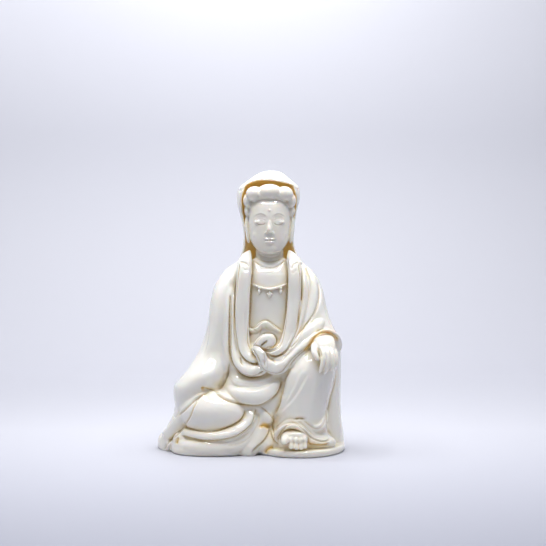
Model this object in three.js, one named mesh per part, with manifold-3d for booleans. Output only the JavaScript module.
// A seated guanyin in glazed ivory-white porcelain, cast and fired as one piece: a veiled figure at
// royal ease, one knee raised with the hand resting on it, the other leg folded flat, and the robe
// spreading on the ground as its own low base.
//
// Millimetres, +Z up, the figure faces -Y. The origin is under the middle of the figure, on the
// ground. Every form of the figure is a sphere's surface bent along a spine, and all of them are
// joined into one solid, hollowed at the veil's mouth and cut flat at the ground.

import * as THREE from "three";
import { mergeVertices } from "three/addons/utils/BufferGeometryUtils.js";
import Module from "manifold-3d";

const wasm = await Module();
wasm.setup();

// Driving sizes. The pose and carving are shares of the height: a part is one three-hundredth of it.
const FIGURE_HEIGHT = 300;
const PARTS_IN_HEIGHT = 300;
const PART = FIGURE_HEIGHT / PARTS_IN_HEIGHT;
const VEIL_WALL = 5.2; // thickness of the veil round the head
const HEM_THICKNESS = 7.6; // the spread robe that the figure sits on
const HEM_ROUNDING = 2.2;
const NECKLACE_RADIUS = 1.3;
const PENDANT_RADIUS = 1.6;

const GLAZE = new THREE.MeshStandardMaterial({
  name: "ivory_glaze",
  color: 0xece9e0,
  roughness: 0.16,
  metalness: 0,
});

/** Turns [x, y, z] shares into a point in millimetres. */
const point = ([x, y, z]) => new THREE.Vector3(x, y, z).multiplyScalar(PART);

/** A smooth curve through points, as a function of a share from 0 to 1. */
function smooth(points) {
  const curve = new THREE.CatmullRomCurve3(points, false, "catmullrom", 0.5);
  return (share) => curve.getPoint(THREE.MathUtils.clamp(share, 0, 1));
}

const SAME_POINT = 1e-4; // two vertices nearer than this, in millimetres, are one

/** A geometry's closed surface as a solid, turned right side out. */
function solidOf(geometry) {
  const bare = geometry.index ? geometry.toNonIndexed() : geometry.clone();
  bare.deleteAttribute("normal");
  bare.deleteAttribute("uv");
  const merged = mergeVertices(bare, SAME_POINT);
  const make = (order) => {
    const index = merged.index.array;
    const triVerts = new Uint32Array(index.length);
    for (let i = 0; i < index.length; i += 3)
      order.forEach((from, to) => (triVerts[i + to] = index[i + from]));
    const vertProperties = merged.attributes.position.array;
    return new wasm.Manifold(new wasm.Mesh({ numProp: 3, vertProperties, triVerts }));
  };
  const solid = make([0, 1, 2]);
  return solid.volume() > 0 ? solid : make([0, 2, 1]);
}

const STEP = 0.01; // the share of a spine over which its direction is taken
const AT_POLE = 1e-6; // a vertex nearer the sphere's axis than this is its pole

/**
 * A sphere's surface bent along a spine. halves holds [half width, half depth] along the spine,
 * across is roughly the way of the width, blunt squares the two ends and full squares the section.
 */
function bend(form) {
  const { spine, halves, across = [1, 0, 0], blunt = 4, full = 2, level = false } = form;
  const { around = 8, along = 8 } = form;
  const centre = smooth(spine.map(point));
  const half = smooth(halves.map(([w, d]) => new THREE.Vector3(w, d, 0).multiplyScalar(PART)));
  const wanted = new THREE.Vector3(...across).normalize();
  const geometry = new THREE.SphereGeometry(1, around, along);
  const place = geometry.attributes.position;
  const vertex = new THREE.Vector3();
  const squared = (value) => Math.sign(value) * Math.abs(value) ** (2 / full);
  for (let i = 0; i < place.count; i++) {
    vertex.fromBufferAttribute(place, i);
    const share = (1 - vertex.y) / 2;
    const ring = Math.hypot(vertex.x, vertex.z);
    const swell = Math.sqrt(Math.max(0, 1 - Math.abs(2 * share - 1) ** blunt));
    const tangent = level
      ? new THREE.Vector3(0, 0, 1)
      : centre(share + STEP).sub(centre(share - STEP)).normalize();
    const wide = wanted.clone().addScaledVector(tangent, -wanted.dot(tangent)).normalize();
    const deep = tangent.clone().cross(wide);
    const size = half(share);
    vertex.copy(centre(share));
    if (ring > AT_POLE) {
      const [c, s] = [place.getX(i) / ring, place.getZ(i) / ring].map(squared);
      vertex.addScaledVector(wide, size.x * swell * c).addScaledVector(deep, size.y * swell * s);
    }
    place.setXYZ(i, vertex.x, vertex.y, vertex.z);
  }
  return solidOf(geometry);
}

/** A mass of level sections, bottom first: [height, centre x, centre y, half width, half depth]. */
function stack(sections, options = {}) {
  return bend({
    spine: sections.map(([z, x, y]) => [x, y, z]),
    halves: sections.map((section) => section.slice(3)),
    level: true,
    blunt: 16,
    around: 20,
    along: 14,
    ...options,
  });
}

/** A rounded lump at a centre, with its three half sizes. */
function lump([x, y, z], [a, b, c], options = {}) {
  return stack([[z - c, x, y, a, b], [z + c, x, y, a, b]], { blunt: 2, around: 12, along: 8, ...options });
}

/** A fold of cloth or a limb, swept along a spine. */
function roll(spine, halves, options = {}) {
  return bend({ spine, halves, ...options });
}

// The mantle's level sections: back, sides and shoulders.
const MANTLE = [
  [-14, 12, 6, 86, 58], [25, 13, 6, 83, 52], [60, 16, 9, 79, 43], [80, 20, 11, 75, 38],
  [100, 22, 12, 71, 36], [122, 21.5, 12, 66, 34], [150, 20, 12, 59, 32], [172, 20, 11, 56.5, 30],
  [186, 20, 10, 51.5, 26], [196, 20, 9, 43, 22], [203, 20, 9, 32, 18], [209, 20, 9, 16, 12],
];
const MANTLE_FULLNESS = 2.3;

/** How far back the mantle reaches at a place across and a height. */
function backOfMantle(x, z) {
  const above = MANTLE.findIndex(([height]) => height > z);
  const [low, high] = [MANTLE[above - 1], MANTLE[above]];
  const share = (z - low[0]) / (high[0] - low[0]);
  const [, cx, cy, w, d] = low.map((value, i) => value + (high[i] - value) * share);
  return cy + d * (1 - Math.abs((x - cx) / w) ** MANTLE_FULLNESS) ** (1 / MANTLE_FULLNESS);
}

/** The mantle, the chest with belly and lap, and the robe that spreads at the folded knee. */
function body() {
  return [
    stack(MANTLE, { around: 20, along: 12, full: MANTLE_FULLNESS }),
    // Chest, belly and lap.
    stack([
      [20, 5, -12, 50, 36], [42, 5, -14, 50, 38], [60, 8, -14, 48, 37], [80, 12, -12, 44, 33],
      [100, 15, -9, 42, 30], [120, 18, -6, 40, 27], [142, 20, -4, 38, 26], [165, 20, -4, 36, 26],
      [184, 20, -4, 31, 25], [197, 20, -3, 22, 18], [205, 20, -2, 12, 11],
    ], { around: 14, along: 9, full: 2.2 }),
    // The robe spreading over the ground at the folded knee.
    stack([[-8, -62, 8, 39.5, 46], [8, -62, 7, 39, 42], [15, -62.5, 6, 35, 38], [22, -63, 5, 27, 34],
      [36, -66, 2, 18, 28], [48, -69, 0, 9, 20]],
      { around: 12, along: 6 }),
  ];
}

/** Long soft folds down the mantle's back. */
function backFolds() {
  const sunk = 2.4;
  const folds = [
    [[14, 190], [9, 145], [3, 90], [-6, 24]], [[29, 188], [37, 145], [45, 95], [54, 30]],
    [[-12, 184], [-24, 145], [-37, 95], [-54, 30]], [[52, 184], [63, 145], [74, 95], [82, 30]],
  ];
  return folds.map((line) => {
    const spine = line.map(([x, z]) => [x, backOfMantle(x, z) - sunk, z]);
    return roll(spine, [[3, 3], [6, 4.5], [8, 6]], { along: 5, around: 6, blunt: 2.5 });
  });
}

/** The leg folded flat on the ground, with two rolls of the robe under its shin. */
function foldedLeg() {
  return [
    roll([[-67, -16, 36], [-52, -28, 41], [-36, -33, 42.5], [-18, -34, 43], [-4, -32, 45]],
      [[12, 22], [23, 31], [25.5, 32], [21, 28], [11, 18]],
      { across: [0, 0, 1], around: 12, along: 8, blunt: 3 }),
    // Two rolls of the robe under the shin.
    roll(
      [[-82, -22, 30], [-70, -40, 24], [-56, -53, 20.5], [-40, -59, 19], [-24, -59, 20.5],
        [-11, -56, 25.5], [-2.5, -52, 33.5], [0.5, -49, 42], [-2, -45, 50]],
      [[5.5, 7], [6, 7], [6, 7], [5.5, 6.5]],
      { across: [0, 0, 1], around: 7, along: 11, blunt: 8 },
    ),
    roll(
      [[-84, -24, 8], [-62, -51, 8], [-40, -58, 8], [-22, -57, 9], [-7, -53, 14], [3, -49, 24],
        [7.5, -46, 35], [7, -43, 46]],
      [[8, 9], [8, 9], [7, 8], [4, 6]],
      { across: [0, 0, 1], around: 7, along: 11, blunt: 8 },
    ),
  ];
}

/** The raised leg under the robe, and the robe's hem over its foot. */
function raisedLeg() {
  return [
    stack([
      [-6, 57, -34, 30, 27], [20, 54, -34, 28.5, 28], [38, 53, -34, 27, 28], [52, 55.5, -34, 26.5, 28],
      [66, 59, -34, 26.5, 28.5], [79, 62, -34, 26, 29], [91, 65.5, -33, 24.5, 28.5], [101, 67, -31, 20, 25],
      [108, 67.5, -29, 14, 18], [112, 68, -28, 6, 8],
    ], { around: 14, along: 9, full: 2.2 }),
    // The hem over the foot, and the robe under it.
    roll(
      [[27, -46, 10], [27, -53, 20], [31, -59, 30], [39, -62.5, 34.5], [47, -63, 34.5], [55, -61.5, 29.5],
        [62, -59, 22], [70, -57, 17], [79, -51, 15], [86, -40, 16]],
      [[3.5, 4], [3, 6], [3.5, 6], [3, 4]], { across: [0, 0, 1], around: 6, along: 10 },
    ),
    roll([[61, -58, 33], [68, -57.5, 28.5], [75, -53, 32], [80, -44, 46]],
      [[3, 4], [4.5, 5], [3, 5]], { across: [0, 0, 1], around: 6, along: 6 }),
    lump([50, -48, 20], [22, 17, 11], { around: 7, along: 5 }),
  ];
}

/** The bare foot under the hem. Each toe is [across, radius]. */
function foot() {
  const ground = HEM_THICKNESS / PART;
  const big = [37.5, 4.6];
  const small = [[43.3, 3.1], [48.3, 3], [53, 2.8], [57.2, 2.5]];
  const toe = ([x, r]) =>
    roll([[x, -58, ground + 9], [x, -68, ground + 5.5], [x, -73, ground + r]], [[r, r], [r, r]],
      { around: 6, along: 4 });
  return [lump([45, -56, 15.5], [13.5, 13, 9.5], { around: 8, along: 6 }), toe(big), ...small.map(toe)];
}

/** The sleeve that hangs over the thigh, and its fall to the ground. */
function rightSleeve() {
  return [
    // The sleeve that hangs over the thigh, and its fall outside the knee.
    stack([
      [30, -69, 0, 9, 26], [44, -69, -4, 11.5, 31], [56, -66, -8, 16, 36], [65, -61, -10, 21.5, 39],
      [71, -55, -11, 25.5, 40], [80, -48.5, -11, 23.5, 39], [91, -42.5, -10, 20.5, 37],
      [105, -38, -8, 17, 34], [122, -34.5, -5, 13.5, 31], [142, -32.5, -3, 12, 29], [162, -30, -1, 12, 27],
      [178, -24, 2, 13.5, 24], [191, -18, 5, 11.5, 19], [200, -12, 7, 9, 13],
    ], { around: 12, along: 13, blunt: 24, full: 2.2 }),
    // The strip that runs from the knee to the ground.
    roll(
      [[-49, -51, 64], [-58, -47, 53], [-66, -38, 43], [-75, -28, 32], [-84, -16, 21], [-91, -4, 11],
        [-92, 2, 2]],
      [[3, 4], [5, 7], [7, 8], [8, 8], [7, 8]],
      { across: [0.7, 0, 0.7], around: 7, along: 7, blunt: 6 },
    ),
    lump([-83, -22, 7], [6, 8, 8], { around: 6, along: 5 }),
  ];
}

/** The arm on the raised knee, its sleeve drawn to the knot, and the cuff. */
function leftSleeve() {
  const band = { across: [0, 0, 1], around: 6 };
  return [
    // Upper arm, and the mantle's fall behind the raised leg.
    stack([
      [-8, 85, 6, 17.5, 36], [14, 83, 6, 18, 34], [45, 80, 6, 17, 29], [80, 79, 4, 18, 28],
      [100, 78, 0, 19, 29], [113, 77, -4, 19.5, 31], [124, 74, -5, 18.5, 30], [136, 70, -2, 16.5, 27],
      [152, 67.5, 2, 14, 25], [170, 64, 4, 13.5, 23], [184, 60, 6, 13, 20], [197, 54, 7, 9, 14],
    ], { around: 10, along: 12, blunt: 24 }),
    // The sleeve drawn from the arm to the knot.
    roll([[82, -24, 140], [72, -32, 134], [62, -37, 126], [52, -40, 116], [43, -42, 107], [34, -44, 101]],
      [[6, 6], [8, 7], [7, 6], [4, 4]], band),
    // The cuff's rim, running on as the swag's lower rim to the knot.
    roll(
      [[93, -16, 108], [93, -28, 121], [84, -40, 130], [72, -45, 129.5], [62, -45, 121], [53, -45, 111],
        [45, -46, 101], [38, -48, 90], [29, -50, 85], [20, -50, 87], [14, -50, 94], [10, -49, 104]],
      [[4, 5], [4.5, 6], [4.5, 6], [4.5, 5.5], [4, 5], [4, 5], [3.5, 4]], { ...band, along: 16 },
    ),
    roll(
      [[62, -41, 122], [52, -42, 112], [42, -45, 103], [34, -47, 97.5], [27, -48, 96], [20, -48, 99],
        [15, -47, 105]],
      [[3, 3], [3.2, 4], [3, 4], [3, 4]], { ...band, around: 5, along: 7 },
    ),
    lump([31, -38, 92], [12, 10, 9], { around: 8, along: 5 }),
  ];
}

/** The mantle's front edges, the layers beside them, the collars' corners and the rolls over the lap. */
function lapels() {
  const flat = { across: [1, 0, 0], around: 6, along: 11 };
  const round = { across: [0, 0, 1], around: 7, along: 8, blunt: 6 };
  return [
    roll(
      [[-3, -12, 213], [-5, -24, 201], [-6.5, -30, 186], [-8, -33, 160], [-8.5, -34, 135], [-7.5, -36, 116],
        [-3, -40, 104], [5, -44, 98], [12, -46, 99]],
      [[4.5, 3], [7.5, 4.5], [7.5, 5], [7.5, 5], [7, 5], [5, 4.5]], flat,
    ),
    roll(
      [[43, -12, 213], [45.5, -24, 201], [46.8, -30, 186], [46.6, -32, 160], [44.5, -34, 142], [41, -36, 124],
        [34, -40, 111], [24, -44, 106], [14, -47, 107]],
      [[4.5, 3], [7.3, 4.5], [7, 5], [7, 5], [6, 5], [3.5, 4]], flat,
    ),
    // The robe's edge under them, that turns round the belly.
    roll(
      [[-18.5, -24, 172], [-18.5, -29, 140], [-18, -33, 115], [-14.5, -39, 99], [-7, -44, 89.5],
        [2, -46, 86.5], [12, -47, 88], [21, -46, 92]],
      [[2.5, 5], [2.8, 5], [4.5, 5], [6.5, 6], [6, 5]], { ...flat, along: 10 },
    ),
    roll(
      [[56.5, -22, 186], [56.8, -28, 162], [54, -33, 143], [48.5, -37, 125], [41, -41, 112],
        [32, -44, 104]],
      [[4, 5], [4, 5], [3.5, 5], [2.5, 4]], { ...flat, along: 8 },
    ),
    roll([[66, -14, 182], [65.8, -21, 162], [61, -28, 144], [54, -34, 128], [45, -40, 113], [37, -43, 105]],
      [[6, 6], [6, 6], [4.5, 5], [2.5, 4]], { ...flat, along: 8 }),
    // The collars' turned corners.
    lump([-8, -25, 200], [6, 4.5, 4], { around: 6, along: 5 }),
    lump([49, -25, 200], [6, 4.5, 4], { around: 6, along: 5 }),
    // Two rolls of the skirt over the lap.
    roll([[-25, -34, 82], [-13, -41, 75.5], [0, -44, 73], [14, -44, 74.5], [25, -41, 81], [34, -37, 90]],
      [[5, 5], [5.5, 6], [5, 5]], round),
    roll([[-30, -34, 69], [-15, -45, 63.5], [0, -49, 60.5], [12, -49, 60.5], [22, -46, 67], [31, -41, 80]],
      [[5, 6], [8, 8], [8.5, 8], [6.5, 7]], round),
  ];
}

/** The sash over the belly, and the knot with its loop and two ends. */
function sashAndKnot() {
  const round = { across: [0, 0, 1], around: 6, along: 6 };
  return [
    // The sash's wavy upper edge over the belly.
    roll([[-3, -29, 129], [4, -30, 127.5], [8, -31, 125.5], [12, -30, 131], [17, -29, 135], [22, -29, 133],
      [29, -30, 128], [36, -30, 125]], [[3, 3], [4, 3.5], [3, 3]], { ...round, along: 9 }),
    lump([16, -27, 118], [18, 9, 13], { around: 8, along: 6 }),
    // The knot's loop and its two ends.
    roll([[1, -43, 108], [8, -43, 113.5], [15, -43, 117], [22, -42, 117.5], [27, -41, 114]],
      [[2, 4], [5.5, 6], [6, 6]], round),
    roll([[28, -41, 119], [27, -44, 111], [19, -46, 108.5], [11, -47, 108.5]],
      [[2, 3], [3, 4], [3, 4]], round),
    roll([[1, -44, 107.5], [6, -48, 109.5], [11, -50, 106], [13, -50, 98], [14, -50, 92]],
      [[2.5, 3], [4, 4], [3, 4]], round),
  ];
}

/** The folds that fall between the two legs. */
function frontFolds() {
  const upright = { across: [1, 0, 0], around: 6, along: 5 };
  return [
    roll([[5, -43, 49], [12, -48, 45.5], [18, -51, 40], [20, -51, 35]],
      [[4, 5], [8, 6], [6, 5]], { ...upright, across: [0.7, 0, 0.7] }),
    roll([[15, -48, 38], [14, -51, 28], [10, -53, 17], [3, -54, 8], [-6, -54, 3]],
      [[5, 6], [6.5, 8], [4, 8]], upright),
    roll([[21, -49, 30], [19.5, -53, 20], [15, -55, 11], [8, -55, 4], [2, -54, 0]],
      [[2, 5], [5.5, 8], [5, 8]], upright),
    roll([[17, -42, 55], [25, -44, 49.5], [30, -43, 55], [34, -41, 68], [38, -40, 82]],
      [[4, 5], [5, 6], [3, 5]], { ...upright, across: [0, 0, 1] }),
  ];
}

/** The hand that rests on the raised knee. */
function hand() {
  const fingers = [
    [[76, -60, 112], [78, -65, 104], [77.5, -67.5, 97], [75, -67, 91], [71.5, -65, 86]],
    [[80.5, -60, 112], [83, -64.5, 104], [82.5, -66.5, 97], [80.5, -66, 91], [77.5, -64, 86]],
    [[84.5, -57, 111], [87, -61, 104], [87, -63, 97], [85.5, -63, 91], [82.5, -61, 87]],
    [[86, -50, 114], [89, -55, 105], [90, -57.5, 98], [89, -58, 92]],
  ];
  return [
    roll([[78, -32, 124], [77.5, -46, 122], [77.5, -55, 117], [79, -59, 109]],
      [[10, 7], [12, 8], [12, 7.5], [9, 6]], { along: 6 }),
    roll([[69, -48, 117], [67, -57, 109], [68.5, -62, 102.5], [72, -65, 98]],
      [[4, 4], [3.5, 3.5], [2.6, 2.6]], { around: 5, along: 5 }),
    ...fingers.map((spine) => roll(spine, [[3.2, 3.4], [3.1, 3.1], [2, 2.2]], { around: 5, along: 6 })),
  ];
}

const HEAD_MIDDLE = 20.5; // across, which the neck, the hair and the veil share

// The veil's level sections, each across from the head's middle, which its hollow follows inside the wall.
const VEIL = [
  [192, 0, 12, 44, 24], [200, 0, 11, 37, 24], [207, 0, 9.5, 32, 25], [216, -1, 7, 28.5, 26],
  [228, -1, 5, 27.5, 28], [240, -1, 4, 28.5, 30], [250, -1.5, 3, 30, 31], [262, -1.7, 2, 33, 33],
  [274, -1, 2, 34.5, 33], [282, -0.5, 2, 32, 31], [288, 0, 3, 25, 27], [294, 1, 4, 17.5, 20],
  [298, 1.5, 5, 11.5, 13], [300, 2, 6, 6, 7],
].map(([z, out, ...rest]) => [z, HEAD_MIDDLE + out, ...rest]);
const VEIL_FLOOR = 200; // the hollow's lowest level
const VEIL_MOUTH_TOP = 288.5;
const VEIL_MOUTH_FORWARD = 18; // how far the hollow stands before the veil's own middle
const VEIL_MOUTH_DEEPER = 8; // how much deeper it is, to open at the front

/** The veil, as a closed mass. */
function veil() {
  return stack(VEIL, { around: 18, along: 14, blunt: 40, full: 2.1 });
}

/** The space between veil and head, open to the front. */
function veilHollow() {
  const wall = VEIL_WALL / PART;
  const inner = VEIL.filter(([z]) => z > VEIL_FLOOR && z < VEIL_MOUTH_TOP)
    .map(([z, x, y, w, d]) => [z, x, y - VEIL_MOUTH_FORWARD, w - wall, d + VEIL_MOUTH_DEEPER]);
  inner.unshift([VEIL_FLOOR, HEAD_MIDDLE, -4, 27, 22]);
  inner.push([VEIL_MOUTH_TOP, HEAD_MIDDLE + 1.5, -16, 15, 24]);
  return stack(inner, { around: 14, along: 9, blunt: 24 });
}

const EYE_OUT = 8.8; // from the middle to an eye

/** The head and neck, with the face's main forms. */
function head() {
  const x = HEAD_MIDDLE;
  const eye = (out) => lump([x + out, -29.5, 242.5], [5, 4.3, 3], { around: 6, along: 4 });
  return [
    stack([
      [209, x, -20, 6, 6], [213, x, -17.5, 12, 13], [222, x, -13, 18.5, 20], [232, x, -10, 21, 24],
      [245, x, -8, 22.3, 26.5], [258, x, -7, 22.4, 26.5], [267, x, -5, 21.5, 24], [276, x, -4, 17, 19],
      [281, x, -4, 8, 10],
    ], { around: 14, along: 10, blunt: 24 }),
    // The neck, with its rings.
    stack([[186, x, -4, 20, 17], [197, x, -4, 16.5, 15], [206, x, -5, 15, 13.5], [220, x, -5, 15, 14]],
      { around: 10, along: 5 }),
    lump([x, -6, 205], [16.2, 14.6, 4.5], { around: 10, along: 4 }),
    // Nose, lips, chin and lowered lids.
    roll([[x, -31.5, 247], [x, -34.5, 238], [x, -36.5, 231.5]], [[1.6, 2.5], [2.4, 3.4], [3.8, 3.2]],
      { around: 6, along: 5 }),
    lump([x, -32.4, 223.3], [6, 3, 2], { around: 6, along: 4 }),
    lump([x, -28, 214.5], [6, 4, 4], { around: 6, along: 4 }),
    eye(-EYE_OUT),
    eye(EYE_OUT),
  ];
}

/** The hair, rolled up in lobes over the brow, and the long ears under it. */
function hair() {
  const sides = [-1, 1].flatMap((side) => {
    const at = (out, y, z) => [HEAD_MIDDLE + side * out, y, z];
    return [
      // The roll of hair over the brow, in lobes, that goes on beside the face.
      lump(at(15.5, -22.5, 274.5), [9, 11.5, 8.5], { around: 7, along: 6 }),
      lump(at(24.3, -15, 268), [5.4, 9, 8], { around: 6, along: 5 }),
      lump(at(24.5, -11, 256.5), [3.8, 7, 6.5], { around: 5, along: 4 }),
      // The long ear.
      roll([at(23.3, -9, 251), at(24.6, -10, 240), at(23, -12, 229), at(22.5, -13, 221)],
        [[1.8, 4], [2.2, 4], [2, 3]], { around: 5, along: 4 }),
    ];
  });
  return [lump([HEAD_MIDDLE, -25.5, 276], [11.8, 11.5, 9.2], { around: 8, along: 6 }), ...sides];
}

/** The fine chain over the under-robe's edge, with three drops. */
function necklace() {
  const radius = NECKLACE_RADIUS / PART;
  const pendant = PENDANT_RADIUS / PART;
  const chain = roll([[0, -28, 178], [8, -30, 174.5], [20, -30.5, 172], [32, -30, 174.5], [40, -28, 178]],
    [[radius, radius], [radius, radius]], { around: 4, along: 8 });
  const drops = [[9.5, 170], [20, 167], [31, 170]];
  const size = [pendant, pendant, 2 * pendant];
  return [chain, ...drops.map(([x, z]) => lump([x, -30, z], size, { around: 4, along: 4 }))];
}

const RIM_STEPS = 30; // straight steps round the hem's outline

/** The robe's hem, spread on the ground: an outline in plan with a rounded rim. */
function hem() {
  const plan = [
    [-101.5, 12], [-95, -6], [-86, -25], [-78, -47], [-64, -60], [-40, -65], [-18, -62], [0, -52], [10, -51],
    [18, -58], [30, -69], [50, -75.5], [70, -71], [86, -57], [97.5, -34], [101.6, -6], [99, 28], [84, 54],
    [58, 69], [20, 74.3], [-25, 73.4], [-64, 62], [-90, 40],
  ];
  const loop = [...plan, plan[0]].map(([x, y]) => new THREE.Vector2(x, y).multiplyScalar(PART));
  const shape = new THREE.Shape(new THREE.SplineCurve(loop).getPoints(RIM_STEPS).slice(0, -1));
  const geometry = new THREE.ExtrudeGeometry(shape, {
    depth: HEM_THICKNESS - HEM_ROUNDING,
    bevelThickness: HEM_ROUNDING,
    bevelSize: HEM_ROUNDING,
    bevelOffset: -HEM_ROUNDING,
    bevelSegments: 1,
    steps: 1,
  });
  return solidOf(geometry);
}

/** Everything below the ground, to be cut away. */
function belowGround() {
  const size = 2 * FIGURE_HEIGHT;
  return solidOf(new THREE.BoxGeometry(size, size, size).translate(0, 0, -size / 2));
}

/** A solid as a named mesh. */
function meshOf(solid, name) {
  const { vertProperties, triVerts } = solid.getMesh();
  const geometry = new THREE.BufferGeometry();
  geometry.setAttribute("position", new THREE.BufferAttribute(vertProperties, 3));
  geometry.setIndex(new THREE.BufferAttribute(triVerts, 1));
  geometry.computeVertexNormals();
  const mesh = new THREE.Mesh(geometry, GLAZE);
  mesh.name = name;
  return mesh;
}

/** Several solids joined into one. */
const join = (solids) => solids.reduce((whole, solid) => whole.add(solid));

/** The whole figure: every form joined, hollowed at the veil's mouth and cut flat at the ground. */
function figure() {
  const robed = join([
    ...body(), ...backFolds(), ...foldedLeg(), ...raisedLeg(), ...foot(), ...rightSleeve(),
    ...leftSleeve(), ...lapels(), ...sashAndKnot(), ...frontFolds(), ...hand(), ...necklace(),
    hem(), veil(),
  ]);
  const hollowed = robed.subtract(veilHollow());
  return join([hollowed, ...head(), ...hair()]).subtract(belowGround());
}

const guanyin = new THREE.Group();
guanyin.name = "guanyin";
guanyin.add(meshOf(figure(), "guanyin_figure"));

export default guanyin;
